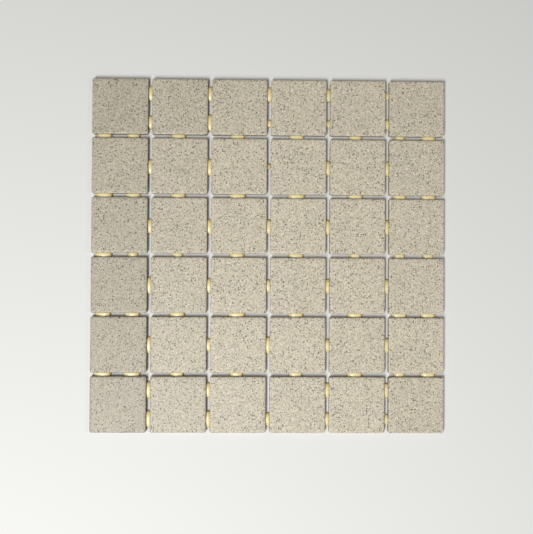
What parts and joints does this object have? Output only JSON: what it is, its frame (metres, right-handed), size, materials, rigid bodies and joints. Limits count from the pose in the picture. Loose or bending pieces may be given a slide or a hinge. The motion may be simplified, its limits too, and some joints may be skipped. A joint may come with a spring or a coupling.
{
  "type": "mosaic tile sheet",
  "caption": "Square sheet of small unglazed porcelain tiles with open joints, held edge to edge by dots of amber glue.",
  "frame": {"origin": "middle of the sheet on the plane of the tile backs", "axes": "+Z from the tile backs to the faces, +X along a row of tiles, +Y up a column; row 1 is at +Y and column 1 at -X"},
  "size_m": [0.303, 0.303, 0.006],
  "materials": {
    "porcelain": "unglazed, matte, fine salt-and-pepper speckle through the body",
    "glue": "clear amber, glossy, smooth"
  },
  "bodies": {
    "root": {"tile_r1_c1": "porcelain", "tile_r1_c2": "porcelain", "tile_r1_c3": "porcelain", "tile_r1_c4": "porcelain", "tile_r1_c5": "porcelain", "tile_r1_c6": "porcelain", "tile_r2_c1": "porcelain", "tile_r2_c2": "porcelain", "tile_r2_c3": "porcelain", "tile_r2_c4": "porcelain", "tile_r2_c5": "porcelain", "tile_r2_c6": "porcelain", "tile_r3_c1": "porcelain", "tile_r3_c2": "porcelain", "tile_r3_c3": "porcelain", "tile_r3_c4": "porcelain", "tile_r3_c5": "porcelain", "tile_r3_c6": "porcelain", "tile_r4_c1": "porcelain", "tile_r4_c2": "porcelain", "tile_r4_c3": "porcelain", "tile_r4_c4": "porcelain", "tile_r4_c5": "porcelain", "tile_r4_c6": "porcelain", "tile_r5_c1": "porcelain", "tile_r5_c2": "porcelain", "tile_r5_c3": "porcelain", "tile_r5_c4": "porcelain", "tile_r5_c5": "porcelain", "tile_r5_c6": "porcelain", "tile_r6_c1": "porcelain", "tile_r6_c2": "porcelain", "tile_r6_c3": "porcelain", "tile_r6_c4": "porcelain", "tile_r6_c5": "porcelain", "tile_r6_c6": "porcelain", "glue_dots_after_column_1": "glue", "glue_dots_after_column_2": "glue", "glue_dots_after_column_3": "glue", "glue_dots_after_column_4": "glue", "glue_dots_after_column_5": "glue", "glue_dots_after_row_1": "glue", "glue_dots_after_row_2": "glue", "glue_dots_after_row_3": "glue", "glue_dots_after_row_4": "glue", "glue_dots_after_row_5": "glue"}
  },
  "joints": []
}
